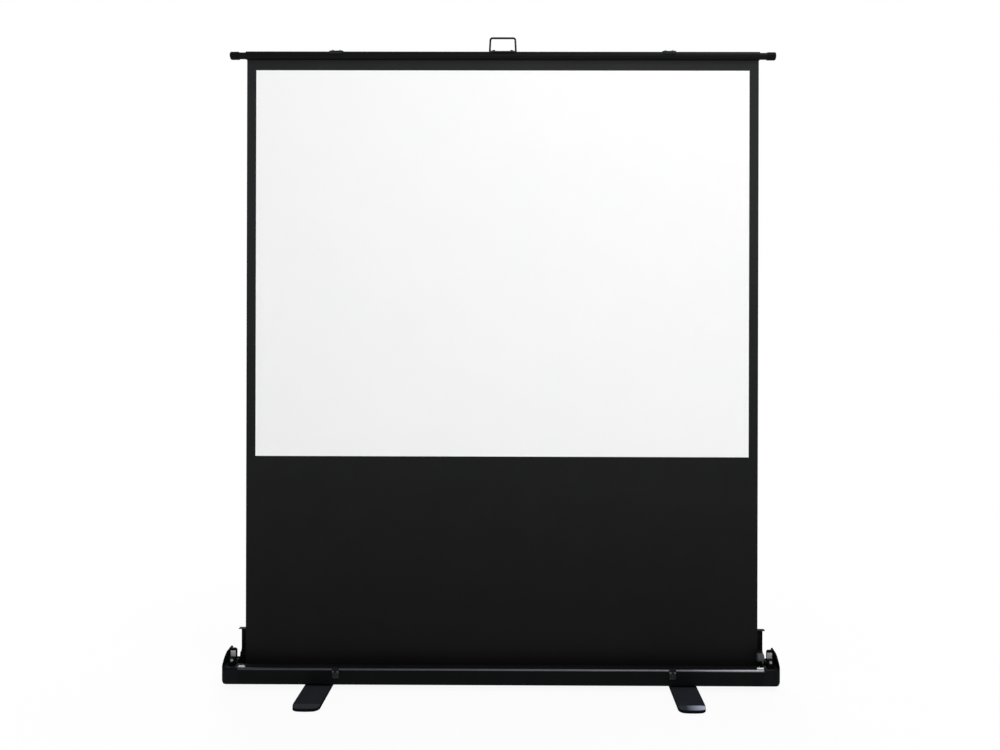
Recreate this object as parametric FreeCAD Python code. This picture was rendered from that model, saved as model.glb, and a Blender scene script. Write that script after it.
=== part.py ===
import FreeCAD, Part
import math
import os

V = FreeCAD.Vector

# Clearances
fit = 0.05
soft_gap = 0.3
layer_gap = 0.5

# Screen cloth: black fabric with a white viewing surface on its front
fabric_width = 1681.0
fabric_thick = 0.5
side_border = 30.5
white_height = 1268.0
white_thick = 0.2
top_border = 33.5

# Case tray: bent aluminium channel with a ledge along its front
cloth_side = 5.5
tray_front = -62.0
tray_rear = 36.0
tray_bottom = 19.0
tray_height = 54.0
tray_wall = 2.0
tray_corner = 6.0
ledge_depth = 13.0
ledge_round = 6.0

# End caps: moulded boxes that close the tray, each with a tall cheek outside a cradle for the bar
cap_length = 52.5
cap_plate = 14.5
cap_wall = 3.0
cap_rear_lip = 6.0
cap_round = 10.0
cap_low_round = 20.0
cheek_thick = 2.5
cheek_front_rise = 26.0
cheek_rear_rise = 29.0
cheek_flat_front = 10.0
cheek_flat_rear = 24.0
notch_play = 1.0
rear_curve_drop = 17.0
rear_curve_in = 4.5
rear_curve_down = 4.5
front_curve_in = 20.0
front_curve_down = 18.0
front_curve_foot = 11.0
rear_wall_length = 21.0
rear_wall_rise = 26.0
rear_wall_round = 7.0
spigot_length = 20.0

# Top bar
bar_dia = 28.0
bar_wall = 3.0
bar_inset = 4.0
bar_up = 2062.0
bar_down = 82.0
bar_slot = 2.0
rod_dia = 22.0
rod_insert = 30.0
knob_dia = 26.0
knob_length = 28.0
knob_round = 4.0
knob_gap = 25.0
hem_rod_dia = 6.0

# Lift arms: flat steel bars in four layers behind the cloth
arm_lean = 10.54
arm_width = 24.0
arm_thick = 3.0
arm_inset = 300.0
arm_first_layer = 4.0
chain_gap = 2.5
pivot_drop = 30.0
base_z = 50.0
pin_dia = 8.0
rivet_head = 1.2
rivet_head_dia = 16.0

# Arm clamps on the bar and brackets on the tray floor
clamp_width = 43.0
clamp_thick = 3.0
hanger_thick = 2.5
hanger_width = 36.0
screw_dia = 4.0
screw_head_dia = 9.0
screw_head = 3.0
clamp_screw_pitch = 24.0
base_width = 36.0
base_plate = 2.5
base_flange = 7.0

# Handle
handle_wire = 6.4
handle_width = 92.4
handle_top_width = 88.0
handle_height = 48.2
handle_rise = 4.0
handle_back = 12.0
handle_bend = 7.0
handle_bracket_length = 77.0
handle_saddle = 2.5
handle_foot_bend = 3.5
handle_barrel = 9.0
handle_barrel_length = 9.0
handle_screw_pitch = 58.0

# Roller
roller_dia = 36.0
roller_wall = 1.5
roller_inset = 3.0
roller_z = 50.0
wrap_thick = 0.6
plug_length = 25.0
journal_dia = 10.0
bracket_gap = 3.0
bracket_thick = 20.0
bracket_width = 25.5
bracket_top = 66.0
spring_bracket_top = 114.5
spring_bracket_to_bar = 2.0
spring_head_length = 22.0
spring_head_over = 15.0
spring_length = 420.0
spring_wire = 3.0
shaft_dia = 10.0

# Bar clips in the end caps
clip_width = 16.0
clip_thick = 1.2
clip_drop = 5.0
clip_straight = 15.0
clip_flare = 2.0
clip_rise = 14.0
boss_depth = 13.0
boss_above_bar = 10.0
clip_screw_above_bar = 3.0

# Bright straps over the joints of ledge and cap
strap_length = 22.0
strap_width = 6.0
strap_thick = 5.0
strap_inset = 11.0
strap_round = 2.0

# Lid, standing open behind the cloth
lid_overhang = 26.0
lid_thick = 2.0
lid_back = 54.0
lid_low_round = 14.0
lid_top = 170.0
lid_top_round = 18.0
lid_tip = 23.5
hinge_z = 78.0
hinge_pin_dia = 3.2
hinge_knuckle = 7.0
hinge_knuckles = 17
hinge_leaf = 2.0
hinge_leaf_height = 24.0
hinge_gap = 0.3
hinge_to_lid = 6.0

# Latches on the front wall
latch_inset = 305.0
latch_offset = 11.0
latch_width = 20.0
latch_base_height = 18.0
latch_plate = 2.0
latch_pivot_z = 64.0
latch_knuckle = 6.0
latch_pin_dia = 2.5
latch_tongue = 10.0
latch_tab = 20.0
latch_top = 78.0
latch_lip = 6.0
latch_rivet_dia = 4.5
latch_rivet_head = 1.0

# Feet
foot_inset = 257.0
foot_y = 0.0
foot_width = 84.0
foot_half = 212.0
foot_thick = 13.0
foot_tip_thick = 8.5
foot_bevel = 24.0
foot_corner = 22.0
foot_bow = 5.0
pad_thick = 2.0
pad_length = 40.0
pad_inset = 14.0
pad_round = 8.0
foot_bolt_dia = 10.0
foot_bolt_head_dia = 18.0
foot_bolt_head = 5.0
foot_washer_dia = 60.0
mount_plate = 3.0
mount_plate_size = 50.0
nut_height = 5.0
nut_across = 16.0

# Places worked out from the sizes above
white_width = fabric_width - 2 * side_border
tray_half = fabric_width / 2 + cloth_side
bar_half = tray_half - bar_inset
roller_half = tray_half - roller_inset
lid_half = tray_half + lid_overhang
arm_x = tray_half - arm_inset
latch_x = tray_half - latch_inset
foot_x = tray_half - foot_inset
tray_top = tray_bottom + tray_height
tray_floor = tray_bottom + tray_wall
cap_end = tray_half + cap_length
cap_plate_in = cap_end - cap_plate
cheek_in = cap_end - cheek_thick
bar_r = bar_dia / 2
bar_in_r = bar_r - bar_wall
rod_r = rod_dia / 2
knob_r = knob_dia / 2
knob_in = bar_half + knob_gap
knob_end = knob_in + knob_length
hem_rod_z = bar_up - bar_in_r + hem_rod_dia / 2 + soft_gap
fabric_top = hem_rod_z - hem_rod_dia / 2 - 2 * soft_gap
white_top = bar_up - bar_r - top_border
pivot_up = bar_up - pivot_drop
arm_length = (pivot_up - base_z) / 2 / math.cos(math.radians(arm_lean))
wrap_r = roller_dia / 2 + wrap_thick
roller_y = -(wrap_r + soft_gap + fabric_thick / 2)
clip_in = knob_r + soft_gap
clip_out = clip_in + clip_thick
clip_x1 = cap_plate_in - fit
clip_x0 = clip_x1 - clip_width
hinge_y = tray_rear + hinge_knuckle / 2 + hinge_gap
foot_bottom = pad_thick
foot_top = foot_bottom + foot_thick
latch_y = tray_front - latch_knuckle / 2 - hinge_gap
sides = (("left", -1), ("right", 1))


def box(x0, x1, y0, y1, z0, z1):
    return Part.makeBox(x1 - x0, y1 - y0, z1 - z0, V(x0, y0, z0))


def bar_x(x0, x1, y, z, r):
    return Part.makeCylinder(r, x1 - x0, V(x0, y, z), V(1, 0, 0))


def bar_y(y0, y1, x, z, r):
    return Part.makeCylinder(r, y1 - y0, V(x, y0, z), V(0, 1, 0))


def bar_z(z0, z1, x, y, r):
    return Part.makeCylinder(r, z1 - z0, V(x, y, z0), V(0, 0, 1))


def flip(shape, side):
    return shape.mirror(V(0, 0, 0), V(1, 0, 0)) if side < 0 else shape


def both(shape):
    return [flip(shape, side) for name, side in sides]


def line(a, b):
    return Part.LineSegment(a, b).toShape()


def arc(a, b, c):
    return Part.Arc(a, b, c).toShape()


def bend(centre, r, a0, a1):
    angles = [math.radians(a) for a in (a0, (a0 + a1) / 2, a1)]
    return arc(*[V(0, centre[0] + r * math.cos(a), centre[1] + r * math.sin(a)) for a in angles])


def prism(edges, x0, x1):
    face = Part.Face(Part.Wire(Part.__sortEdges__(edges)))
    face.translate(V(x0, 0, 0))
    return face.extrude(V(x1 - x0, 0, 0))


def section(*points):
    return [line(V(0, *a), V(0, *b)) for a, b in zip(points, points[1:] + points[:1])]


def edges_on_x(shape, x):
    return [e for e in shape.Edges if abs(e.BoundBox.XMin - x) < fit and abs(e.BoundBox.XMax - x) < fit]


def save(name, *solids):
    shape = Part.makeCompound(list(solids)) if len(solids) > 1 else solids[0]
    shape.exportStep("parts/%s.step" % name)


os.makedirs("parts", exist_ok=True)


def channel(x0, x1, wall):
    outer = box(x0, x1, tray_front, tray_rear, tray_bottom, tray_top)
    low = [e for e in outer.Edges if e.BoundBox.ZMax < tray_bottom + fit and e.BoundBox.XLength > fit]
    outer = outer.makeFillet(tray_corner, low)
    inner = box(x0, x1, tray_front + wall, tray_rear - wall, tray_bottom + wall, tray_top)
    low = [e for e in inner.Edges if e.BoundBox.ZMax < tray_bottom + wall + fit and e.BoundBox.XLength > fit]
    inner = inner.makeFillet(tray_corner - wall, low)
    ledge = box(x0, x1, tray_front + wall, tray_front + ledge_depth, tray_top - wall, tray_top)
    shell = outer.cut(inner).fuse(ledge).removeSplitter()
    under = [e for e in shell.Edges if e.BoundBox.XLength > fit and e.BoundBox.YMax < tray_front + wall + fit
             and abs(e.BoundBox.ZMin - tray_top + wall) < fit and e.BoundBox.YMin > tray_front + fit]
    shell = shell.makeFillet(ledge_round - wall, under)
    front = [e for e in shell.Edges if e.BoundBox.XLength > fit and e.BoundBox.YMax < tray_front + fit
             and e.BoundBox.ZMin > tray_top - fit]
    return shell.makeFillet(ledge_round, front)


# Case tray with the holes for the foot bolts
tray = channel(-tray_half, tray_half, tray_wall)
for side in (-1, 1):
    tray = tray.cut(bar_z(tray_bottom, tray_floor, side * foot_x, foot_y, foot_bolt_dia / 2 + fit))
save("case_tray", tray)


# End caps, right-hand one first and the left one as its mirror image
def end_plate():
    rear = tray_rear + cap_rear_lip
    low = tray_bottom
    front_top = bar_down + cheek_front_rise
    rear_top = bar_down + cheek_rear_rise
    edges = [
        bend((tray_front + tray_corner, low + tray_corner), tray_corner, 180, 270),
        line(V(0, tray_front + tray_corner, low), V(0, rear - tray_corner, low)),
        bend((rear - tray_corner, low + tray_corner), tray_corner, 270, 360),
        line(V(0, rear, low + tray_corner), V(0, rear, rear_top - rear_curve_drop)),
        arc(V(0, rear, rear_top - rear_curve_drop), V(0, rear - rear_curve_in, rear_top - rear_curve_down),
            V(0, cheek_flat_rear, rear_top)),
        line(V(0, cheek_flat_rear, rear_top), V(0, -cheek_flat_front, front_top)),
        arc(V(0, -cheek_flat_front, front_top),
            V(0, tray_front + front_curve_in, front_top - front_curve_down),
            V(0, tray_front, tray_top - front_curve_foot)),
        line(V(0, tray_front, tray_top - front_curve_foot), V(0, tray_front, low + tray_corner)),
    ]
    # Inside the cheek the plate stops level with the tray, with a hollow for the end of the bar
    plate = prism(edges, cap_plate_in, cap_end)
    plate = plate.cut(box(cap_plate_in, cheek_in, tray_front, rear, tray_top, rear_top))
    return plate.cut(bar_x(cap_plate_in, cheek_in, 0, bar_down, knob_r + notch_play))


# A block as large as the cap, rounded along the lower edge and the front upright edge of its outer face
def cap_rounding():
    block = box(tray_half, cap_end, tray_front, tray_rear + cap_rear_lip, tray_bottom,
                bar_down + cheek_rear_rise)
    outer = edges_on_x(block, cap_end)
    low = [e for e in outer if e.BoundBox.YLength > fit and e.BoundBox.ZMax < tray_bottom + fit]
    upright = [e for e in outer if e.BoundBox.ZLength > fit and e.BoundBox.YMax < tray_front + fit]
    return block.makeFillet(cap_low_round, low).common(block.makeFillet(cap_round, upright))


def end_cap():
    cap = channel(tray_half, cap_plate_in, cap_wall).fuse(end_plate()).common(cap_rounding())
    spigot = box(tray_half - spigot_length, tray_half, tray_front + tray_wall + fit,
                 tray_rear - tray_wall - fit, tray_floor + fit, tray_top - ledge_round - fit)
    low = [e for e in spigot.Edges if e.BoundBox.ZMax < tray_floor + 2 * fit and e.BoundBox.XLength > fit]
    spigot = spigot.makeFillet(tray_corner - tray_wall, low)
    spigot = spigot.cut(box(tray_half - spigot_length, tray_half, tray_front + tray_wall + cap_wall,
                            tray_rear - tray_wall - cap_wall, tray_floor + cap_wall, tray_top))
    seat = box(clip_x0 - soft_gap, cap_plate_in, -clip_out - boss_depth, clip_out + boss_depth / 2,
               tray_bottom + cap_wall, tray_top)
    boss = box(clip_x0 - soft_gap, cap_plate_in, -clip_out - boss_depth, -clip_out - fit,
               tray_top, bar_down + boss_above_bar)
    wall = box(cheek_in - rear_wall_length, cheek_in, clip_out + fit, clip_out + boss_depth / 2, tray_top,
               bar_down + rear_wall_rise)
    crown = [e for e in wall.Edges if e.BoundBox.YLength > fit and e.BoundBox.ZMin > tray_top + fit
             and e.BoundBox.XMax < cheek_in - fit]
    wall = wall.makeFillet(rear_wall_round, crown)
    cap = cap.fuse([spigot, seat, boss, wall]).removeSplitter()
    cap = cap.cut(bar_x(clip_x0 - soft_gap, cap_plate_in, 0, bar_down, clip_in))
    screw_x = (clip_x0 + clip_x1) / 2
    hole = bar_y(-clip_out - boss_depth, -clip_in, screw_x, bar_down + clip_screw_above_bar,
                 screw_dia / 2 + fit)
    return cap.cut(hole)


right_cap = end_cap()
for name, side in sides:
    save("end_cap_" + name, flip(right_cap, side))


# Spring clips that press on the bar's end knobs: upright leaves, each held to the cradle by one screw
def bar_clip():
    low = bar_down - clip_drop
    z1 = bar_down + clip_straight
    z2 = z1 + clip_rise
    leaf = section((-clip_in, low), (-clip_out, low), (-clip_out, z1), (-clip_out - clip_flare, z2),
                   (-clip_in - clip_flare, z2), (-clip_in, z1))
    hole = bar_y(-clip_out, -clip_in, (clip_x0 + clip_x1) / 2, bar_down + clip_screw_above_bar,
                 screw_dia / 2 + fit)
    return prism(leaf, clip_x0, clip_x1).cut(hole)


def clip_screw():
    x = (clip_x0 + clip_x1) / 2
    z = bar_down + clip_screw_above_bar
    front = -clip_out - boss_depth
    return bar_y(front - screw_head, front, x, z, screw_head_dia / 2).fuse(
        bar_y(front, -clip_in, x, z, screw_dia / 2)).removeSplitter()


for name, side in sides:
    save("bar_clip_" + name, flip(bar_clip(), side))
save("clip_screws", *both(clip_screw()))

# Bright straps that tie the ledge of the tray to the ledge of each cap
strap_x = tray_half - strap_inset
strap_y = tray_front + (ledge_round + ledge_depth) / 2
strap = box(strap_x - strap_length / 2, strap_x + strap_length / 2, strap_y - strap_width / 2,
            strap_y + strap_width / 2, tray_top, tray_top + strap_thick)
strap_rim = [e for e in strap.Edges if e.BoundBox.ZMin > tray_top + fit]
save("ledge_straps", *both(strap.makeFillet(strap_round, strap_rim)))

# Roller brackets, standing on the floors of the end caps
bracket_x0 = roller_half + bracket_gap
bracket_x1 = bracket_x0 + bracket_thick
cap_floor = tray_bottom + cap_wall
journal_r = journal_dia / 2
plug_in = roller_half - plug_length


def bracket_block(top):
    return box(bracket_x0, bracket_x1, roller_y - bracket_width / 2, roller_y + bracket_width / 2,
               cap_floor, top)


left_bracket = bracket_block(bracket_top)
left_bracket = left_bracket.cut(bar_x(bracket_x0, bracket_x1, roller_y, roller_z, journal_r + fit))
save("roller_bracket_left", flip(left_bracket, -1))

# The spring bracket rises in front of the lowered bar, with a rounded head that leans in over the roller
head_r = bracket_width / 2
head_y = -(bar_r + spring_bracket_to_bar) - head_r
head_z = spring_bracket_top - head_r
head_x0 = bracket_x0 - spring_head_over
head_x1 = head_x0 + spring_head_length
head = bar_x(head_x0, head_x1, head_y, head_z, head_r)
head = head.makeFillet(bracket_gap, edges_on_x(head, head_x0) + edges_on_x(head, head_x1))
neck = box(bracket_x0, head_x1 - bracket_gap, head_y - head_r + bracket_gap, head_y + head_r - bracket_gap,
           cap_floor, head_z)
right_bracket = bracket_block(bracket_top).fuse([neck, head]).removeSplitter()
right_bracket = right_bracket.cut(bar_x(bracket_x0, bracket_x1, roller_y, roller_z, shaft_dia / 2 + fit))
save("spring_bracket_right", right_bracket)

# Spring shaft, fixed in the right bracket, with the close-wound spring around it
spring_x0 = plug_in - spring_length
save("spring_shaft", bar_x(spring_x0, bracket_x1, roller_y, roller_z, shaft_dia / 2))
spring_in = shaft_dia / 2 + soft_gap
spring = bar_x(spring_x0, plug_in - layer_gap, roller_y, roller_z, spring_in + spring_wire)
save("torsion_spring", spring.cut(bar_x(spring_x0, plug_in, roller_y, roller_z, spring_in)))

# Roller tube with its plugs and the turns of cloth that stay on it
tube_in = roller_dia / 2 - roller_wall
tube = bar_x(-roller_half, roller_half, roller_y, roller_z, roller_dia / 2)
save("roller_tube", tube.cut(bar_x(-roller_half, roller_half, roller_y, roller_z, tube_in)))
plug = bar_x(plug_in, roller_half, roller_y, roller_z, tube_in)
journal = bar_x(roller_half, bracket_x1 - bracket_gap, roller_y, roller_z, journal_r)
save("roller_plug_left", flip(plug.fuse(journal).removeSplitter(), -1))
save("roller_plug_right", plug.cut(bar_x(plug_in, roller_half, roller_y, roller_z, shaft_dia / 2 + fit)))
wrap = bar_x(-fabric_width / 2, fabric_width / 2, roller_y, roller_z, wrap_r)
save("fabric_wraps", wrap.cut(bar_x(-fabric_width / 2, fabric_width / 2, roller_y, roller_z, roller_dia / 2)))

# Screen cloth and its white face, stretched from the roller to the bar
half_cloth = fabric_thick / 2
save("screen_fabric", box(-fabric_width / 2, fabric_width / 2, -half_cloth, half_cloth, roller_z, fabric_top))
save("viewing_surface", box(-white_width / 2, white_width / 2, -half_cloth - white_thick, -half_cloth,
                            white_top - white_height, white_top))


# Feet: flat bars with bowed ends, bevelled along the bow, that turn on a bolt under the tray
def foot_bar(x):
    front = foot_y - foot_half
    rear = foot_y + foot_half
    x0 = x - foot_width / 2
    x1 = x + foot_width / 2
    low = foot_bottom
    outline = [
        arc(V(x0, front + foot_bow, low), V(x, front, low), V(x1, front + foot_bow, low)),
        line(V(x1, front + foot_bow, low), V(x1, rear - foot_bow, low)),
        arc(V(x1, rear - foot_bow, low), V(x, rear, low), V(x0, rear - foot_bow, low)),
        line(V(x0, rear - foot_bow, low), V(x0, front + foot_bow, low)),
    ]
    bar = Part.Face(Part.Wire(outline)).extrude(V(0, 0, foot_thick))
    bar = bar.makeFillet(foot_corner, [e for e in bar.Edges if e.BoundBox.ZLength > fit])
    # The bevel at each end lies on a cone about the centre of that end's bow
    tip = foot_bottom + foot_tip_thick
    bow_r = (foot_width ** 2 / 4 + foot_bow ** 2) / (2 * foot_bow)
    for way in (-1, 1):
        centre = foot_y + way * (foot_half - bow_r)
        waste = bar_z(tip, foot_top, x, centre, bow_r + foot_bow)
        waste = waste.cut(Part.makeCone(bow_r, bow_r - foot_bevel, foot_top - tip, V(x, centre, tip)))
        y0, y1 = sorted((foot_y, foot_y + way * (foot_half + foot_bow)))
        bar = bar.cut(waste.common(box(x0, x1, y0, y1, tip, foot_top)))
    bar = bar.cut(bar_z(foot_bottom, foot_top, x, foot_y, foot_bolt_dia / 2 + fit))
    sink = foot_bottom + foot_bolt_head + 2 * soft_gap
    return bar.cut(bar_z(foot_bottom, sink, x, foot_y, foot_bolt_head_dia / 2 + soft_gap))


def foot_pad(x, way):
    y = foot_y + way * (foot_half - pad_inset - pad_length / 2)
    half = foot_width / 2 - pad_inset
    pad = box(x - half, x + half, y - pad_length / 2, y + pad_length / 2, 0, foot_bottom)
    return pad.makeFillet(pad_round, [e for e in pad.Edges if e.BoundBox.ZLength > fit])


def foot_washer(x):
    ring = bar_z(foot_top, tray_bottom, x, foot_y, foot_washer_dia / 2)
    return ring.cut(bar_z(foot_top, tray_bottom, x, foot_y, foot_bolt_dia / 2 + fit))


for name, side in sides:
    save("foot_" + name, foot_bar(side * foot_x))
    save("foot_pads_" + name, *[foot_pad(side * foot_x, way) for way in (-1, 1)])
    save("foot_washer_" + name, foot_washer(side * foot_x))

# Plates inside the tray that take the foot bolts, and the bolts with their nuts
nut_z0 = tray_floor + mount_plate
nut_z1 = nut_z0 + nut_height
bolt_r = foot_bolt_dia / 2
bolt_z0 = foot_bottom + soft_gap


def mount_plate_solid(x):
    half = mount_plate_size / 2
    plate = box(x - half, x + half, foot_y - half, foot_y + half, tray_floor, nut_z0)
    return plate.cut(bar_z(tray_floor, nut_z0, x, foot_y, bolt_r + fit))


def foot_bolt(x):
    head = bar_z(bolt_z0, bolt_z0 + foot_bolt_head, x, foot_y, foot_bolt_head_dia / 2)
    return head.fuse(bar_z(bolt_z0 + foot_bolt_head, nut_z1, x, foot_y, bolt_r)).removeSplitter()


def foot_nut(x):
    r = nut_across / math.sqrt(3)
    angles = [math.radians(60 * n) for n in range(6)]
    corners = [V(x + r * math.cos(a), foot_y + r * math.sin(a), nut_z0) for a in angles]
    nut = Part.Face(Part.makePolygon(corners + corners[:1])).extrude(V(0, 0, nut_height))
    return nut.cut(bar_z(nut_z0, nut_z1, x, foot_y, bolt_r + fit))


foot_places = [side * foot_x for name, side in sides]
save("foot_mount_plates", *[mount_plate_solid(x) for x in foot_places])
save("foot_bolts", *[foot_bolt(x) for x in foot_places])
save("foot_nuts", *[foot_nut(x) for x in foot_places])

# Lift arms, each chain in its own pair of layers so that the two can pass
upper_y = {"left": arm_first_layer}
lower_y = {"left": upper_y["left"] + arm_thick + layer_gap}
upper_y["right"] = lower_y["left"] + arm_thick + chain_gap
lower_y["right"] = upper_y["right"] + arm_thick + layer_gap
pin_r = pin_dia / 2
arm_r = arm_width / 2
knee_x = arm_x - arm_length * math.sin(math.radians(arm_lean))
knee_z = (base_z + pivot_up) / 2


def arm(y, x, z, tilt):
    y1 = y + arm_thick
    bar = box(-arm_r, arm_r, y, y1, 0, arm_length)
    bar = bar.fuse([bar_y(y, y1, 0, end, arm_r) for end in (0, arm_length)]).removeSplitter()
    for end in (0, arm_length):
        bar = bar.cut(bar_y(y, y1, 0, end, pin_r + fit))
    bar.rotate(V(0, 0, 0), V(0, 1, 0), tilt)
    bar.translate(V(x, 0, z))
    return bar


def knee_pin(name, side):
    front = upper_y[name]
    rear = lower_y[name] + arm_thick
    pin = bar_y(front, rear, side * knee_x, knee_z, pin_r)
    heads = [bar_y(front - rivet_head, front, side * knee_x, knee_z, rivet_head_dia / 2),
             bar_y(rear, rear + rivet_head, side * knee_x, knee_z, rivet_head_dia / 2)]
    return pin.fuse(heads).removeSplitter()


def pivot_washer(x, z, y0, y1):
    return bar_y(y0, y1, x, z, rivet_head_dia / 2).cut(bar_y(y0, y1, x, z, pin_r + fit))


for name, side in sides:
    save("lower_arm_" + name, arm(lower_y[name], side * arm_x, base_z, -side * arm_lean))
    save("upper_arm_" + name, arm(upper_y[name], side * knee_x, knee_z, side * arm_lean))
    save("knee_pin_" + name, knee_pin(name, side))
    save("knee_washer_" + name, pivot_washer(side * knee_x, knee_z, lower_y[name] - layer_gap, lower_y[name]))


# Brackets on the tray floor that carry the arms, with flush-fronted pins
def arm_base(name, side):
    y0 = lower_y[name] + arm_thick + layer_gap
    x = side * arm_x
    half = base_width / 2
    plate = box(x - half, x + half, y0, y0 + base_plate, tray_floor, base_z)
    ear = bar_y(y0, y0 + base_plate, x, base_z, half)
    flange = box(x - half, x + half, y0, y0 + base_plate + base_flange, tray_floor, tray_floor + base_plate)
    solid = plate.fuse([ear.common(box(x - half, x + half, y0, y0 + base_plate, base_z, base_z + half)),
                        flange]).removeSplitter()
    return solid.cut(bar_y(y0, y0 + base_plate, x, base_z, pin_r + fit))


def base_pin(name, side):
    front = lower_y[name]
    rear = front + arm_thick + layer_gap + base_plate
    pin = bar_y(front, rear, side * arm_x, base_z, pin_r)
    return pin.fuse(bar_y(rear, rear + rivet_head, side * arm_x, base_z, rivet_head_dia / 2)).removeSplitter()


for name, side in sides:
    save("arm_base_" + name, arm_base(name, side))
save("base_pins", *[base_pin(name, side) for name, side in sides])


# Clamps that wrap over the bar, with a hanger behind the cloth for each upper arm
clamp_in = bar_r + fit
clamp_out = bar_r + clamp_thick
clamp_screw_places = [side * arm_x + way * clamp_screw_pitch / 2 for name, side in sides for way in (-1, 1)]
handle_screw_places = [way * handle_screw_pitch / 2 for way in (-1, 1)]


def top_screw(x, seat):
    head = bar_z(bar_up + seat, bar_up + seat + screw_head, x, 0, screw_head_dia / 2)
    rim = [e for e in head.Edges if e.BoundBox.ZMin > bar_up + seat + screw_head - fit]
    shank = bar_z(bar_up + bar_in_r, bar_up + seat, x, 0, screw_dia / 2)
    return head.makeFillet(screw_head / 2, rim).fuse(shank).removeSplitter()


def screw_hole(x, top):
    return bar_z(bar_up, bar_up + top, x, 0, screw_dia / 2 + fit)


def arm_clamp(name, side):
    x = side * arm_x
    half = clamp_width / 2
    y1 = upper_y[name] - layer_gap
    y0 = y1 - hanger_thick
    cloth_side = arm_first_layer - layer_gap - hanger_thick
    ring = bar_x(x - half, x + half, 0, bar_up, clamp_out)
    ring = ring.cut(box(x - half, x + half, -clamp_out, cloth_side, bar_up - clamp_out, bar_up + bar_wall))
    plate = box(x - hanger_width / 2, x + hanger_width / 2, y0, y1, pivot_up, bar_up)
    ear = bar_y(y0, y1, x, pivot_up, hanger_width / 2)
    ear = ear.cut(box(x - half, x + half, y0, y1, pivot_up, bar_up))
    solid = ring.fuse([plate, ear]).removeSplitter()
    solid = solid.cut(bar_x(x - half, x + half, 0, bar_up, clamp_in))
    solid = solid.cut(bar_y(y0, y1, x, pivot_up, pin_r + fit))
    for place in clamp_screw_places:
        solid = solid.cut(screw_hole(place, clamp_out))
    return solid


def top_pin(name, side):
    y1 = upper_y[name] + arm_thick
    y0 = upper_y[name] - layer_gap - hanger_thick
    return bar_y(y0, y1, side * arm_x, pivot_up, pin_r)


for name, side in sides:
    save("arm_clamp_" + name, arm_clamp(name, side))
save("clamp_screws", *[top_screw(x, clamp_out) for x in clamp_screw_places])
save("top_pins", *[top_pin(name, side) for name, side in sides])

# Top bar: slotted tube, hem rod, end rods and knobs
bar_tube = bar_x(-bar_half, bar_half, 0, bar_up, bar_r).cut(bar_x(-bar_half, bar_half, 0, bar_up, bar_in_r))
bar_tube = bar_tube.cut(box(-bar_half, bar_half, -bar_slot / 2, bar_slot / 2, bar_up - bar_r,
                            bar_up - bar_in_r / 2))
for x in clamp_screw_places + handle_screw_places:
    bar_tube = bar_tube.cut(screw_hole(x, bar_r))
save("bar_tube", bar_tube)
hem_half = bar_half - rod_insert - layer_gap
save("hem_rod", bar_x(-hem_half, hem_half, 0, hem_rod_z, hem_rod_dia / 2))
rod_end = knob_end - knob_round - layer_gap
end_rod = bar_x(bar_half - rod_insert, rod_end, 0, bar_up, rod_r - fit)
knob = bar_x(knob_in, knob_end, 0, bar_up, knob_r)
knob = knob.makeFillet(knob_round, edges_on_x(knob, knob_end))
knob = knob.cut(bar_x(knob_in, rod_end, 0, bar_up, rod_r))
for name, side in sides:
    save("bar_rod_" + name, flip(end_rod, side))
    save("bar_knob_" + name, flip(knob, side))

# Handle: a saddle on the bar with two barrels behind its top, and a wire bail that swings in them
handle_z = bar_up + bar_r + handle_rise
wire_r = handle_wire / 2
leg_x = handle_width / 2 - wire_r
barrel_x1 = leg_x - handle_foot_bend * math.sqrt(2) - layer_gap
barrel_x0 = barrel_x1 - handle_barrel_length
saddle_half = handle_bracket_length / 2
saddle_out = bar_r + handle_saddle
saddle_low = bar_up + bar_r / 2
saddle = bar_x(-saddle_half, saddle_half, 0, bar_up, saddle_out)
saddle = saddle.cut(box(-saddle_half, saddle_half, -saddle_out, saddle_out, bar_up - saddle_out, saddle_low))
for way in (-1, 1):
    x0, x1 = sorted((way * barrel_x0, way * barrel_x1))
    neck = box(x0, x1, handle_back - handle_barrel / 2, handle_back + handle_barrel / 2, saddle_low, handle_z)
    saddle = saddle.fuse([neck, bar_x(x0, x1, handle_back, handle_z, handle_barrel / 2)])
saddle = saddle.removeSplitter().cut(bar_x(-saddle_half, saddle_half, 0, bar_up, clamp_in))
saddle = saddle.cut(bar_x(-saddle_half, saddle_half, handle_back, handle_z, wire_r + fit))
for x in handle_screw_places:
    saddle = saddle.cut(screw_hole(x, saddle_out))
save("handle_bracket", saddle)
save("handle_screws", *[top_screw(x, saddle_out) for x in handle_screw_places])


# A wire path through corner points, each corner rounded by its own radius
def wire_path(points, radii):
    edges = []
    start = points[0]
    for a, b, c, r in zip(points, points[1:], points[2:], radii):
        u = (a - b).normalize()
        w = (c - b).normalize()
        half_angle = u.getAngle(w) / 2
        reach = r / math.tan(half_angle)
        mid = (u + w).normalize() * (r / math.sin(half_angle) - r)
        edges.append(line(start, b + u * reach))
        edges.append(arc(b + u * reach, b + mid, b + w * reach))
        start = b + w * reach
    edges.append(line(start, points[-1]))
    return Part.Wire(edges)


top_x = handle_top_width / 2 - wire_r
bail_top = handle_z + handle_height - wire_r
corners = [V(x, handle_back, z) for x, z in ((barrel_x0, handle_z), (leg_x, handle_z), (top_x, bail_top))]
corners += [V(-p.x, p.y, p.z) for p in reversed(corners)]
bail_path = wire_path(corners, (handle_foot_bend, handle_bend, handle_bend, handle_foot_bend))
bail_end = Part.Wire(Part.makeCircle(wire_r, corners[0], V(1, 0, 0)))
save("handle_bail", bail_path.makePipeShell([bail_end], True, False))

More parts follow.
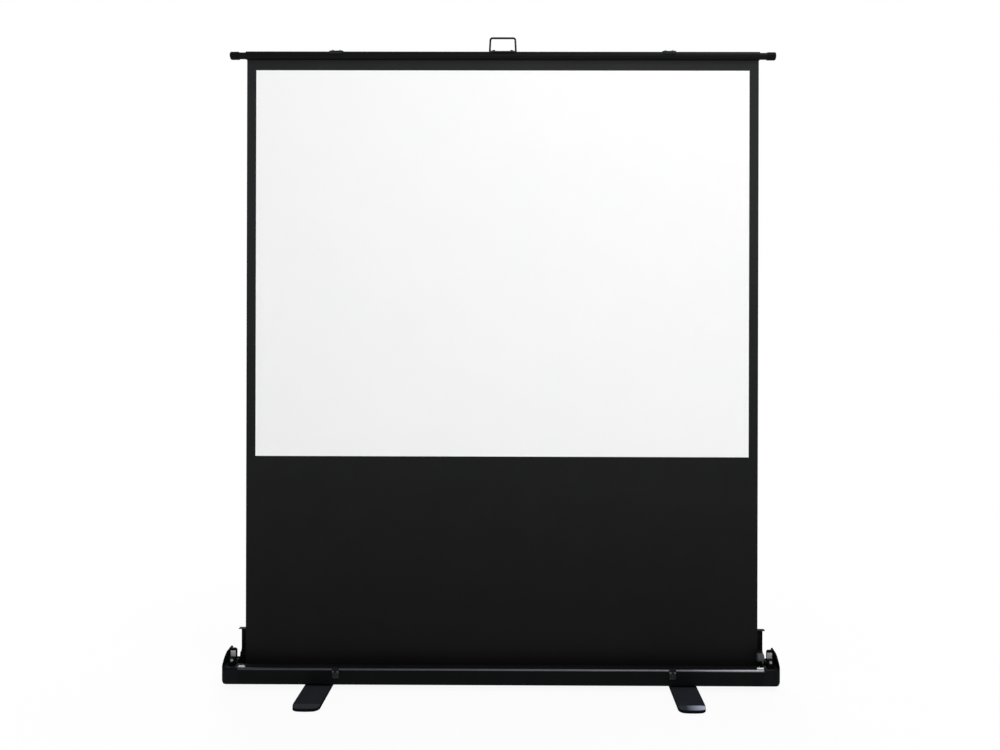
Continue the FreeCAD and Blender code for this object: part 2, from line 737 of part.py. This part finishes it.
# Lid: a curled sheet, hinged to the rear wall of the tray and standing open
lid_low_y = lid_back - lid_low_round
lid_low_z = hinge_z + hinge_to_lid
low_centre = (lid_low_y, lid_low_z + lid_low_round)
top_centre = (lid_back - lid_top_round, lid_top - lid_top_round)
lid_in = lid_back - lid_thick
lid_edges = [
    bend(low_centre, lid_low_round, 270, 360),
    line(V(0, lid_back, low_centre[1]), V(0, lid_back, top_centre[1])),
    bend(top_centre, lid_top_round, 0, 90),
    line(V(0, top_centre[0], lid_top), V(0, lid_tip, lid_top)),
    line(V(0, lid_tip, lid_top), V(0, lid_tip, lid_top - lid_thick)),
    line(V(0, lid_tip, lid_top - lid_thick), V(0, top_centre[0], lid_top - lid_thick)),
    bend(top_centre, lid_top_round - lid_thick, 90, 0),
    line(V(0, lid_in, top_centre[1]), V(0, lid_in, low_centre[1])),
    bend(low_centre, lid_low_round - lid_thick, 360, 270),
    line(V(0, lid_low_y, lid_low_z + lid_thick), V(0, lid_low_y, lid_low_z)),
]
save("lid_panel", prism(lid_edges, -lid_half, lid_half))

# Piano hinge: a leaf on the wall and one under the lid, their knuckles taking turns, and one long pin
knuckle_r = hinge_knuckle / 2
leaf_top = hinge_z - knuckle_r - layer_gap
knuckle_pitch = 2 * lid_half / hinge_knuckles
wall_leaf = box(-lid_half, lid_half, tray_rear, tray_rear + hinge_leaf, leaf_top - hinge_leaf_height,
                leaf_top)
lid_leaf = box(-lid_half, lid_half, lid_low_y - hinge_leaf, lid_low_y, hinge_z + knuckle_r + hinge_gap,
               lid_low_z + lid_thick)
for n in range(hinge_knuckles):
    x0 = -lid_half + n * knuckle_pitch + hinge_gap / 2
    x1 = x0 + knuckle_pitch - hinge_gap
    knuckle = bar_x(x0, x1, hinge_y, hinge_z, knuckle_r)
    if n % 2:
        neck = box(x0, x1, lid_low_y - hinge_leaf, lid_low_y, hinge_z, lid_low_z)
        lid_leaf = lid_leaf.fuse([neck, knuckle])
    else:
        neck = box(x0, x1, tray_rear, tray_rear + hinge_leaf, leaf_top, hinge_z)
        wall_leaf = wall_leaf.fuse([neck, knuckle])
hinge_pin = bar_x(-lid_half, lid_half, hinge_y, hinge_z, hinge_pin_dia / 2)
pin_room = bar_x(-lid_half, lid_half, hinge_y, hinge_z, hinge_pin_dia / 2 + fit)
save("hinge_leaf_wall", wall_leaf.removeSplitter().cut(pin_room))
save("hinge_leaf_lid", lid_leaf.removeSplitter().cut(pin_room))
save("hinge_pin", hinge_pin)

# Latches on the front wall: a riveted base, a hook that swings on it, and a pin
latch_r = latch_knuckle / 2
latch_base_top = latch_pivot_z - latch_r - layer_gap
rivet_z = latch_base_top - latch_base_height / 2
base_front = tray_front - latch_plate


def latch_base(x):
    half = latch_width / 2
    inner = latch_tongue / 2 + hinge_gap
    base = box(x - half, x + half, base_front, tray_front, latch_base_top - latch_base_height, latch_base_top)
    for x0, x1 in ((x - half, x - inner), (x + inner, x + half)):
        neck = box(x0, x1, base_front, tray_front, latch_base_top, latch_pivot_z)
        base = base.fuse([neck, bar_x(x0, x1, latch_y, latch_pivot_z, latch_r)])
    return base.removeSplitter().cut(bar_x(x - half, x + half, latch_y, latch_pivot_z, latch_pin_dia / 2))


def latch_hook(x):
    half = latch_tongue / 2
    wide = latch_tab / 2
    front = latch_y - latch_plate / 2
    tongue = box(x - half, x + half, front, front + latch_plate, latch_pivot_z, latch_top)
    tab = box(x - wide, x + wide, front, front + latch_plate, latch_pivot_z + latch_r + layer_gap, latch_top)
    lip = box(x - wide, x + wide, front, front + latch_plate + latch_lip, latch_top - latch_plate, latch_top)
    hook = bar_x(x - half, x + half, latch_y, latch_pivot_z, latch_r).fuse([tongue, tab, lip])
    hole = bar_x(x - half, x + half, latch_y, latch_pivot_z, latch_pin_dia / 2 + fit)
    return hook.removeSplitter().cut(hole)


def latch_rivet(x):
    head = bar_y(base_front - latch_rivet_head, base_front, x, rivet_z, latch_rivet_dia / 2)
    rim = [e for e in head.Edges if e.BoundBox.YMax < base_front - latch_rivet_head + fit]
    return head.makeFillet(latch_rivet_head / 2, rim)


latch_places = [side * latch_x + latch_offset for name, side in sides]
for (name, side), x in zip(sides, latch_places):
    save("latch_base_" + name, latch_base(x))
    save("latch_hook_" + name, latch_hook(x))
save("latch_pins", *[bar_x(x - latch_width / 2, x + latch_width / 2, latch_y, latch_pivot_z,
                           latch_pin_dia / 2) for x in latch_places])
save("latch_rivets", *[latch_rivet(x + way * latch_width / 4) for x in latch_places for way in (-1, 1)])
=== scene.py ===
import math
import bmesh
import bpy
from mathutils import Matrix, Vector


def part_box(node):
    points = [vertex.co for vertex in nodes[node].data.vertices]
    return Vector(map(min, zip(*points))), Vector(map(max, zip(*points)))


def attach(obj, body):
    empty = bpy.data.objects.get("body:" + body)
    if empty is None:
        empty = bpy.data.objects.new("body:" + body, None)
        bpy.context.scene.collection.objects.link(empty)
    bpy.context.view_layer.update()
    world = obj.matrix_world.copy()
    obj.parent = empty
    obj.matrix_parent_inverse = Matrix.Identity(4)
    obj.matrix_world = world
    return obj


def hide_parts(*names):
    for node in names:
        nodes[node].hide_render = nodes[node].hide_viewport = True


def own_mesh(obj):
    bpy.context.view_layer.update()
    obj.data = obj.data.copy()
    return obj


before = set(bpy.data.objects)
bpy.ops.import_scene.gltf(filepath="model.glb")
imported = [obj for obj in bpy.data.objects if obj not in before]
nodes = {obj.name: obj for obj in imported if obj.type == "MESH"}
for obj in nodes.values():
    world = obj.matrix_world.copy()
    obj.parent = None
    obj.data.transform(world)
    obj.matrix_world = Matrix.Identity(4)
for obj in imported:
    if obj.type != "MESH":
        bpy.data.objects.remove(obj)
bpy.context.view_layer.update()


# Feet: two flat steel bars with bowed, bevelled ends, cut from plate and powder coated black. Each turns
# on one bolt under the case, on a black nylon thrust washer, and stands on two strips of rubber.
MM = 0.001
sides = ("left", "right")


def linear(code):
    parts = [int(code[n:n + 2], 16) / 255 for n in (1, 3, 5)]
    return [c / 12.92 if c <= 0.04045 else ((c + 0.055) / 1.055) ** 2.4 for c in parts] + [1.0]


def add(tree, kind, inputs=None, **settings):
    node = tree.nodes.new("ShaderNode" + kind)
    for name, value in settings.items():
        setattr(node, name, value)
    for name, value in (inputs or {}).items():
        if isinstance(value, bpy.types.NodeSocket):
            tree.links.new(value, node.inputs[name])
        else:
            node.inputs[name].default_value = value
    return node


def start_finish(name):
    material = bpy.data.materials.new(name)
    material.use_nodes = True
    tree = material.node_tree
    tree.nodes.clear()
    return material, tree, add(tree, "TexCoord").outputs["Object"]


def close_finish(tree, inputs):
    shader = add(tree, "BsdfPrincipled", inputs)
    add(tree, "OutputMaterial", {"Surface": shader.outputs["BSDF"]})


# Cloudy noise whose patches lie about one pitch apart
def noise(tree, place, pitch, detail, **more):
    inputs = {"Vector": place, "Scale": 1 / pitch, "Detail": detail, **more}
    return add(tree, "TexNoise", inputs).outputs["Fac"]


def coordinate(tree, place, axis):
    return add(tree, "SeparateXYZ", {"Vector": place}).outputs[axis]


# From 0 at the start to 1 at the end, and level beyond
def step(tree, value, start, end):
    return add(tree, "MapRange", {"Value": value, "From Min": start, "From Max": end}).outputs["Result"]


def between(tree, share, low, high):
    return add(tree, "MapRange", {"Value": share, "To Min": low, "To Max": high}).outputs["Result"]


def combine(tree, operation, one, other):
    return add(tree, "Math", {0: one, 1: other}, operation=operation).outputs["Value"]


def blend(tree, share, one, other, **settings):
    return add(tree, "MixRGB", {"Fac": share, "Color1": one, "Color2": other}, **settings).outputs["Color"]


def relief(tree, height, strength, depth):
    bump = add(tree, "Bump", {"Height": height, "Strength": strength, "Distance": depth})
    return bump.outputs["Normal"]


# A rim, worn in one finish and painted as a highlight in others: in front of one line and above another,
# from 0 to 1 across a soft step
def rim_wear_and_highlight(tree, place, front, low, soft):
    ahead = step(tree, coordinate(tree, place, "Y"), front, front - soft)
    above = step(tree, coordinate(tree, place, "Z"), low, low + soft)
    return combine(tree, "MULTIPLY", ahead, above)


def dress(material, *names):
    for name in names:
        slots = nodes[name].data.materials
        slots.clear()
        slots.append(material)


# Coarse powder coat on steel: a sandy texture of grains about 1.5 mm apart scatters the light, and
# the coat is a touch greyer where it lies thin. The grains are drawn twice as large so that they show.
# The cut edges and side walls of the feet are painted deep black as painted shade. The front bevels are
# painted grey as a painted highlight, and the right one paler still on its outer half.
sand_pitch, thin_pitch = 3.0 * MM, 60 * MM
edge_shade_top, edge_shade_soft = 10.0 * MM, 1.0 * MM
bevel_front, bevel_low, bevel_soft = -186 * MM, 10.5 * MM, 1.0 * MM
pale_from, pale_full = 570 * MM, 622 * MM
steel_coat, tree, place = start_finish("sandy_black_powder_coat")
grains = noise(tree, place, sand_pitch, 3.0)
coat = blend(tree, noise(tree, place, thin_pitch, 2.0), linear("#1f2125"), linear("#272a2f"))
# Painted shade: below the top edge the coat is painted deep black.
above_edge_shade = step(tree, coordinate(tree, place, "Z"), edge_shade_top, edge_shade_top + edge_shade_soft)
coat = blend(tree, above_edge_shade, linear("#0e0f11"), coat)
# Painted highlight: the front bevels are painted grey, pale on the outer half of the right one.
pale = step(tree, coordinate(tree, place, "X"), pale_from, pale_full)
bevel_highlight = blend(tree, pale, linear("#2f3235"), linear("#a8abc0"))
bevel = rim_wear_and_highlight(tree, place, bevel_front, bevel_low, bevel_soft)
close_finish(tree, {
    "Base Color": blend(tree, bevel, coat, bevel_highlight),
    "Roughness": between(tree, grains, 0.42, 0.60),
    "Normal": relief(tree, grains, 0.25, 0.15 * MM),
    "Specular IOR Level": 0.0})
dress(steel_coat, *["foot_" + side for side in sides])

# Rubber strip: dull, dusty in patches, with the fine pits of a moulded sheet.
dust_pitch, pit_pitch = 12 * MM, 2.5 * MM
rubber, tree, place = start_finish("moulded_rubber")
dust = noise(tree, place, dust_pitch, 4.0)
pits = add(tree, "TexVoronoi", {"Vector": place, "Scale": 1 / pit_pitch})
close_finish(tree, {
    "Base Color": blend(tree, dust, linear("#121212"), linear("#232221")),
    "Roughness": 0.85,
    "Normal": relief(tree, pits.outputs["Distance"], 0.3, 0.2 * MM)})
dress(rubber, *["foot_pads_" + side for side in sides])

# Moulded nylon and ABS: spark-eroded grain in the mould leaves a fine matt texture, drawn at 2 mm
# so that it shows, and long flow marks a shade lighter. The rim of the ledge on the end caps is rubbed
# smooth.
mould_pitch, flow_pitch = 2.0 * MM, 45 * MM
rim_front, rim_low, rim_soft = -55.5 * MM, 67.0 * MM, 1.0 * MM
moulding, tree, place = start_finish("moulded_black_abs")
grains = noise(tree, place, mould_pitch, 4.0, Roughness=0.6)
flow = noise(tree, place, flow_pitch, 2.0, Distortion=1.5)
gloss = between(tree, grains, 0.40, 0.58)
rubbed = between(tree, rim_wear_and_highlight(tree, place, rim_front, rim_low, rim_soft), 1.0, 0.4)
close_finish(tree, {
    "Base Color": blend(tree, flow, linear("#0c0d0f"), linear("#111214")),
    "Roughness": combine(tree, "MULTIPLY", gloss, rubbed),
    "Normal": relief(tree, grains, 0.15, 0.1 * MM),
    "Specular IOR Level": 0.04})
dress(moulding, *["foot_washer_" + side for side in sides])


# Foot fixings: pressed plates inside the case floor, and a bolt and nut through each foot. All are
# turned or pressed steel, barrel plated with bright zinc.
# Bright zinc plate: silvery with faint cloudy patches from the bath and a fine drawn grain.
cloud_pitch, drawn_pitch = 6 * MM, 1.2 * MM
zinc, tree, place = start_finish("bright_zinc_plate")
clouds = noise(tree, place, cloud_pitch, 3.0)
close_finish(tree, {
    "Base Color": blend(tree, clouds, linear("#b9bcbd"), linear("#d6d6d2")),
    "Metallic": 1.0,
    "Roughness": between(tree, clouds, 0.24, 0.40),
    "Normal": relief(tree, noise(tree, place, drawn_pitch, 2.0), 0.08, 0.05 * MM)})
dress(zinc, "foot_mount_plates", "foot_bolts", "foot_nuts")


# Case tray: a long open channel folded from aluminium sheet, with a rounded ledge along its front.
# It is powder coated satin black after folding and carries everything else.
# Satin powder coat: a fine orange peel with ripples about 2 mm apart breaks up its soft gloss, and
# the gloss drifts a little along the length where the coat lies thicker. Along the rim of the ledge
# a strip of dark bare metal is painted in as a highlight, and painted brighter towards the right end.
peel_pitch, drift_pitch = 2.0 * MM, 90 * MM
rim_highlight_from, rim_highlight_full = 600 * MM, 760 * MM
satin_coat, tree, place = start_finish("satin_black_powder_coat")
peel = noise(tree, place, peel_pitch, 2.0)
drift = noise(tree, place, drift_pitch, 3.0)
coat = blend(tree, drift, linear("#0a0b0c"), linear("#0f1011"))
# Painted highlight: a bare-metal strip along the rim of the ledge, brightening towards the right end.
rim_highlight_ramp = step(tree, coordinate(tree, place, "X"), rim_highlight_from, rim_highlight_full)
metal_and_highlight = blend(tree, rim_highlight_ramp, linear("#55575b"), linear("#8b8d93"))
rim_highlight = rim_wear_and_highlight(tree, place, rim_front, rim_low, rim_soft)
close_finish(tree, {
    "Base Color": blend(tree, rim_highlight, coat, metal_and_highlight),
    "Metallic": rim_highlight,
    "Roughness": between(tree, drift, 0.36, 0.50),
    "Normal": relief(tree, peel, 0.12, 0.05 * MM),
    "Specular IOR Level": 0.03})
dress(satin_coat, "case_tray")


# End caps: injection-moulded ABS boxes pushed into the ends of the tray, each with a tall outer cheek and
# a cradle that takes the end knob of the lowered bar.
dress(moulding, *["end_cap_" + side for side in sides])


# Bar clips and ledge straps: leaves of spring steel screwed to the cradles, and short blocks that stand on
# the ends of the ledge. All are zinc plated, the clips and their screws dull and the blocks bright.
# Blackened zinc plate: a dark matt grey with blotches. It is worn to grey metal on the knuckles of the
# latches. Higher up, on the clips, it is painted pale metal as a painted highlight.
blotch_pitch = 5 * MM
worn_from, worn_full = 61.0 * MM, 62.5 * MM
clip_highlight_from, clip_highlight_full = 70.0 * MM, 74.0 * MM
dull_zinc, tree, place = start_finish("blackened_zinc_plate")
blotch = noise(tree, place, blotch_pitch, 3.0)
plate = blend(tree, blotch, linear("#222324"), linear("#333435"))
height = coordinate(tree, place, "Z")
# Painted highlight: pale metal on the clips above the clip line.
metal_and_highlight = blend(tree, step(tree, height, clip_highlight_from, clip_highlight_full), linear("#5c5d5e"), linear("#b2b3b2"))
close_finish(tree, {
    "Base Color": blend(tree, step(tree, height, worn_from, worn_full), plate, metal_and_highlight),
    "Metallic": 0.7,
    "Roughness": between(tree, blotch, 0.45, 0.6)})
dress(dull_zinc, *["bar_clip_" + side for side in sides], "clip_screws")
dress(zinc, "ledge_straps")


# Roller: an aluminium tube on two moulded plugs. The left journal turns in a black bracket; on the
# right a wound spring on a fixed steel shaft, held in a grey bracket, keeps the cloth tight.
dress(moulding, *["roller_plug_" + side for side in sides], "roller_bracket_left")
dress(zinc, "spring_shaft")

# Grey moulded nylon, slightly waxy, mottled, with a soft sheen; below its head it is painted near-black as
# painted shade.
mottle_pitch = 9 * MM
stem_shade_top, head_soft = 86.0 * MM, 1.0 * MM
grey_nylon, tree, place = start_finish("grey_moulded_nylon")
mottle = noise(tree, place, mottle_pitch, 3.0)
grey = blend(tree, mottle, linear("#3c3d42"), linear("#494a50"))
# Painted shade: near-black below the head.
head = step(tree, coordinate(tree, place, "Z"), stem_shade_top, stem_shade_top + head_soft)
close_finish(tree, {
    "Base Color": blend(tree, head, linear("#0e0f10"), grey),
    "Roughness": 0.48,
    "Normal": relief(tree, mottle, 0.1, 0.3 * MM),
    "Specular IOR Level": 0.1})
dress(grey_nylon, "spring_bracket_right")


# Die lines run along the length of an extrusion: noise that is stretched along X
def die_lines(tree, place, pitch, stretch):
    along = add(tree, "Mapping", {"Vector": place, "Scale": (1 / stretch, 1.0, 1.0)})
    return noise(tree, along.outputs["Vector"], pitch, 2.0)


# Mill-finish aluminium tube: fine die lines about 1 mm apart dull its bright metal in streaks.
mill_finish, tree, place = start_finish("mill_finish_aluminium")
lines = die_lines(tree, place, 1.0 * MM, 50)
close_finish(tree, {
    "Base Color": blend(tree, lines, linear("#b4b6b8"), linear("#cbccce")),
    "Metallic": 1.0,
    "Roughness": between(tree, lines, 0.28, 0.45)})
dress(mill_finish, "roller_tube")

# Oiled spring steel: dark blue-grey with brown oil stains.
stain_pitch = 8 * MM
spring_steel, tree, place = start_finish("oiled_spring_steel")
oil = noise(tree, place, stain_pitch, 3.0)
close_finish(tree, {
    "Base Color": blend(tree, oil, linear("#4a4a4c"), linear("#5f5a54")),
    "Metallic": 1.0,
    "Roughness": 0.35})
dress(spring_steel, "torsion_spring")


# Screen cloth: one sheet of black backing cloth, hemmed into the slot of the bar at the top and wound
# on the roller at the bottom. Lowering the bar winds it away, so it shortens towards the roller.
# Black vinyl-coated cloth: a plain weave shows faintly through the coat, which has a dull sheen and is
# a touch uneven over hand-widths. Its threads lie 0.6 mm apart and are drawn at 4 mm so that they show.
# It is painted greyer towards the top and darker towards the roller, a painted gradient of the light from
# above.
thread_pitch, uneven_pitch = 4.0 * MM, 140 * MM
dim_at, lit_at = 250 * MM, 1600 * MM
black_cloth, tree, place = start_finish("black_vinyl_coated_cloth")


# Threads that lie across one axis; at a scale of 1 the wave pattern repeats every pi / 10
def threads(tree, place, axis):
    inputs = {"Vector": place, "Scale": math.pi / 10 / thread_pitch, "Distortion": 0.6}
    return add(tree, "TexWave", inputs, bands_direction=axis).outputs["Fac"]


weave = combine(tree, "MULTIPLY", threads(tree, place, "X"), threads(tree, place, "Z"))
uneven = noise(tree, place, uneven_pitch, 3.0)
# Painted light: the colour lightens from the roller towards the top.
painted_top_light = step(tree, coordinate(tree, place, "Z"), dim_at, lit_at)
shade = blend(tree, painted_top_light, linear("#111112"), linear("#262728"))
close_finish(tree, {
    "Base Color": blend(tree, uneven, shade, linear("#d9d9d9"), blend_type="MULTIPLY"),
    "Roughness": between(tree, weave, 0.50, 0.62),
    "Normal": relief(tree, weave, 0.10, 0.06 * MM),
    "Specular IOR Level": 0.08})


# A strip of cloth between a front line and a back line of (y, z) points, run along X in equal steps
def cloth_strip(name, front, back, x0, x1, steps, material, body):
    skin = bmesh.new()
    columns = []
    for s in range(steps + 1):
        x = x0 + (x1 - x0) * s / steps
        columns.append([[skin.verts.new((x, y, z)) for y, z in line] for line in (front, back)])
    last = len(front) - 1
    for (front_a, back_a), (front_b, back_b) in zip(columns, columns[1:]):
        for n in range(last):
            skin.faces.new((front_a[n], front_b[n], front_b[n + 1], front_a[n + 1]))
            skin.faces.new((back_a[n], back_a[n + 1], back_b[n + 1], back_b[n]))
        skin.faces.new((front_a[0], back_a[0], back_b[0], front_b[0]))
        skin.faces.new((front_a[last], front_b[last], back_b[last], back_a[last]))
    for (edge_front, edge_back), turn in ((columns[0], 1), (columns[-1], -1)):
        for n in range(last):
            rim = (edge_front[n], edge_front[n + 1], edge_back[n + 1], edge_back[n])
            skin.faces.new(rim[::turn])
    bmesh.ops.recalc_face_normals(skin, faces=skin.faces)
    mesh = bpy.data.meshes.new(name)
    skin.to_mesh(mesh)
    skin.free()
    mesh.materials.append(material)
    piece = bpy.data.objects.new(name, mesh)
    bpy.context.scene.collection.objects.link(piece)
    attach(piece, body)
    return piece


def upright(y, z0, z1, steps):
    return [(y, z0 + (z1 - z0) * n / steps) for n in range(steps + 1)]


cloth_low, cloth_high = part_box("screen_fabric")
cloth_steps_across = 48
cloth_steps_up = 60
screen_cloth = cloth_strip(
    "screen_cloth",
    upright(cloth_low[1], cloth_low[2], cloth_high[2], cloth_steps_up),
    upright(cloth_high[1], cloth_low[2], cloth_high[2], cloth_steps_up),
    cloth_low[0], cloth_high[0], cloth_steps_across, black_cloth, "case")
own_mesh(screen_cloth)
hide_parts("screen_fabric")


# Wound cloth: the last two turns of the same sheet, which stay on the roller tube when the screen is
# up and turn with it.
tube_low, tube_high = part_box("roller_tube")
tube_radius = (tube_high[2] - tube_low[2]) / 2
roller_y = (tube_low[1] + tube_high[1]) / 2
roller_z = (tube_low[2] + tube_high[2]) / 2
turns = 2
turn_steps = 36
lap = 0.24 * MM
wound_thick = 0.20 * MM
tube_play = 0.03 * MM


def spiral(lift):
    line = []
    for n in range(turns * turn_steps + 1):
        angle = 2 * math.pi * n / turn_steps
        radius = tube_radius + tube_play + lap * n / turn_steps + lift
        line.append((roller_y + radius * math.cos(angle), roller_z + radius * math.sin(angle)))
    return line


wound_cloth = cloth_strip(
    "wound_cloth", spiral(wound_thick), spiral(0.0),
    cloth_low[0], cloth_high[0], cloth_steps_across, black_cloth, "roller")
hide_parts("fabric_wraps")


# Viewing surface: a matt white coat on the front of the cloth, with a black border left round it.
# It shortens with the cloth that carries it, and runs a few millimetres ahead on the way down, so that
# none of the white is left showing when the bar is in the case.
# Matt white screen coat: an even, chalky white with a faint emboss about 3 mm across and hardly any gloss.
emboss_pitch, tint_pitch = 3.0 * MM, 220 * MM
matt_white, tree, place = start_finish("matt_white_screen_coat")
emboss = noise(tree, place, emboss_pitch, 2.0)
tint = noise(tree, place, tint_pitch, 2.0)
close_finish(tree, {
    "Base Color": blend(tree, tint, linear("#eeefef"), linear("#f1f1f0")),
    "Roughness": 0.9,
    "Normal": relief(tree, emboss, 0.05, 0.05 * MM),
    "Specular IOR Level": 0.1})
white_low, white_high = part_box("viewing_surface")
viewing_face = cloth_strip(
    "white_viewing_surface",
    upright(white_low[1], white_low[2], white_high[2], cloth_steps_up),
    upright(white_high[1], white_low[2], white_high[2], cloth_steps_up),
    white_low[0], white_high[0], cloth_steps_across, matt_white, "case")
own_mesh(viewing_face)
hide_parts("viewing_surface")


# Lift arms: four flat steel bars in two folding chains behind the cloth, pinned to brackets on the case
# floor. The bars and brackets are coated as the feet are; the pins and washers are plated.
for side in sides:
    dress(steel_coat, "arm_base_" + side, "lower_arm_" + side, "upper_arm_" + side)
    dress(zinc, "knee_pin_" + side, "knee_washer_" + side)
dress(zinc, "base_pins", "top_pins")


# Top bar: an extruded aluminium tube with a slot for the hem, anodised black. Its end rods carry moulded
# knobs, and two folded steel clamps hold it to the arms.
# Black anodising: a dense black over fine die lines that run the length of the bar, about 1 mm apart and
# drawn at 3 mm so that they show.
anodised, tree, place = start_finish("black_anodised_aluminium")
lines = die_lines(tree, place, 3.0 * MM, 100)
close_finish(tree, {
    "Base Color": blend(tree, lines, linear("#0e0e0e"), linear("#151515")),
    "Roughness": between(tree, lines, 0.34, 0.48),
    "Normal": relief(tree, lines, 0.1, 0.05 * MM),
    "Specular IOR Level": 0.05})
dress(anodised, "bar_tube", *["bar_rod_" + side for side in sides])
dress(moulding, *["bar_knob_" + side for side in sides])
dress(steel_coat, *["arm_clamp_" + side for side in sides])
dress(zinc, "hem_rod", "clamp_screws")


# Handle: a bail bent from steel wire that swings in the two barrels of a saddle screwed on the bar.
# Both are coated black, and rubbed a little shinier than the feet by hands.
# Glossy black enamel: dipped and baked, with long soft ripples and a shine worn in patches.
wear_pitch = 14 * MM
enamel, tree, place = start_finish("baked_black_enamel")
wear = noise(tree, place, wear_pitch, 3.0)
close_finish(tree, {
    "Base Color": blend(tree, wear, linear("#0d0e10"), linear("#131416")),
    "Roughness": between(tree, wear, 0.26, 0.42),
    "Specular IOR Level": 0.12})
dress(enamel, "handle_bail", "handle_bracket", "handle_screws")


# Lid: a channel folded from aluminium sheet with curled edges, coated with the tray and hung on its rear
# wall by a piano hinge of black steel leaves on one long plated pin.
dress(satin_coat, "lid_panel")
dress(enamel, "hinge_leaf_wall", "hinge_leaf_lid")
dress(zinc, "hinge_pin")


# Latches: two small hooks on the front of the tray, each swinging on a pin in a pressed base that is
# riveted on. The bases are plated as the bar clips are, with worn knuckles, and the hooks are black.
dress(dull_zinc, *["latch_base_" + side for side in sides])
dress(enamel, *["latch_hook_" + side for side in sides], "latch_rivets")
dress(zinc, "latch_pins")


# Studio: a sheet of white paper for a floor, which fades to full white away from the object, and soft
# lamps high in front, overhead to the right and behind. A weak even fill comes from all round, and the
# camera stands level with the middle of the screen.
floor_half = 30.0
fade_from, fade_full = 0.9, 1.9
white_near, white_far = 0.92, 1.0
corners = [(-floor_half, -floor_half, 0), (floor_half, -floor_half, 0),
           (floor_half, floor_half, 0), (-floor_half, floor_half, 0)]
floor_mesh = bpy.data.meshes.new("floor")
floor_mesh.from_pydata(corners, [], [(0, 1, 2, 3)])
floor = bpy.data.objects.new("floor", floor_mesh)
bpy.context.scene.collection.objects.link(floor)
paper, tree, place = start_finish("white_studio_paper")
path = add(tree, "LightPath").outputs
mirrored = combine(tree, "MAXIMUM", path["Is Glossy Ray"], path["Is Transmission Ray"])
shows = combine(tree, "MAXIMUM", path["Is Camera Ray"], mirrored)
away = add(tree, "VectorMath", {0: place}, operation="LENGTH").outputs["Value"]
white = between(tree, step(tree, away, fade_from, fade_full), white_near, white_far)
matt = add(tree, "BsdfDiffuse", {"Color": linear("#f4f4f4")})
glow = add(tree, "Emission", {"Color": linear("#ffffff"), "Strength": 1.0})
mix = add(tree, "MixShader", {
    0: combine(tree, "MULTIPLY", shows, white), 1: matt.outputs["BSDF"], 2: glow.outputs["Emission"]})
add(tree, "OutputMaterial", {"Surface": mix.outputs["Shader"]})
floor_mesh.materials.append(paper)

# The room: what falls on the object is even; what it mirrors is dim in front and bright behind
fill_level = 0.515
front_level, back_level = 0.12, 1.0
front_edge, back_edge = -0.2, 0.3
world = bpy.data.worlds.new("studio")
world.use_nodes = True
bpy.context.scene.world = world
tree = world.node_tree
tree.nodes.clear()
path = add(tree, "LightPath").outputs
look = coordinate(tree, add(tree, "TexCoord").outputs["Generated"], "Y")
room = between(tree, step(tree, look, front_edge, back_edge), front_level, back_level)
mirrored = combine(tree, "MAXIMUM", path["Is Glossy Ray"], path["Is Transmission Ray"])
fill = add(tree, "Mix", {"Factor": mirrored, 2: fill_level, 3: room})
level = add(tree, "Mix", {"Factor": path["Is Camera Ray"], 2: fill.outputs[0], 3: 1.0})
shine = add(tree, "Background", {"Color": linear("#ffffff"), "Strength": level.outputs[0]})
add(tree, "OutputWorld", {"Surface": shine.outputs["Background"]})


def lamp(name, place, aim, size, power):
    data = bpy.data.lights.new(name, "AREA")
    data.shape = "RECTANGLE"
    data.size, data.size_y = size
    data.energy = power
    light = bpy.data.objects.new(name, data)
    light.location = place
    light.rotation_euler = (Vector(aim) - Vector(place)).to_track_quat("-Z", "Y").to_euler()
    bpy.context.scene.collection.objects.link(light)


lamp("front_softbox", place=(0.6, -4.0, 3.0), aim=(0.0, 0.0, 1.4), size=(2.4, 1.2), power=58)
lamp("ceiling_softbox", place=(2.0, -2.3, 5.7), aim=(0.0, 0.0, 0.5), size=(1.2, 1.2), power=108)
lamp("rear_softbox", place=(-1.2, 4.0, 3.0), aim=(0.0, 0.0, 1.0), size=(2.4, 1.2), power=90)

camera_data = bpy.data.cameras.new("camera")
camera_data.sensor_width = 36.0
camera_data.lens = 29.59
camera_data.shift_x = -0.026
camera_data.shift_y = -0.04
camera = bpy.data.objects.new("camera", camera_data)
camera.location = (0.0911, -2.7, 1.146)
camera.rotation_euler = (math.radians(90), math.radians(-0.145), math.radians(0.258))
bpy.context.scene.collection.objects.link(camera)
bpy.context.scene.camera = camera
bpy.context.scene.view_settings.view_transform = "Standard"
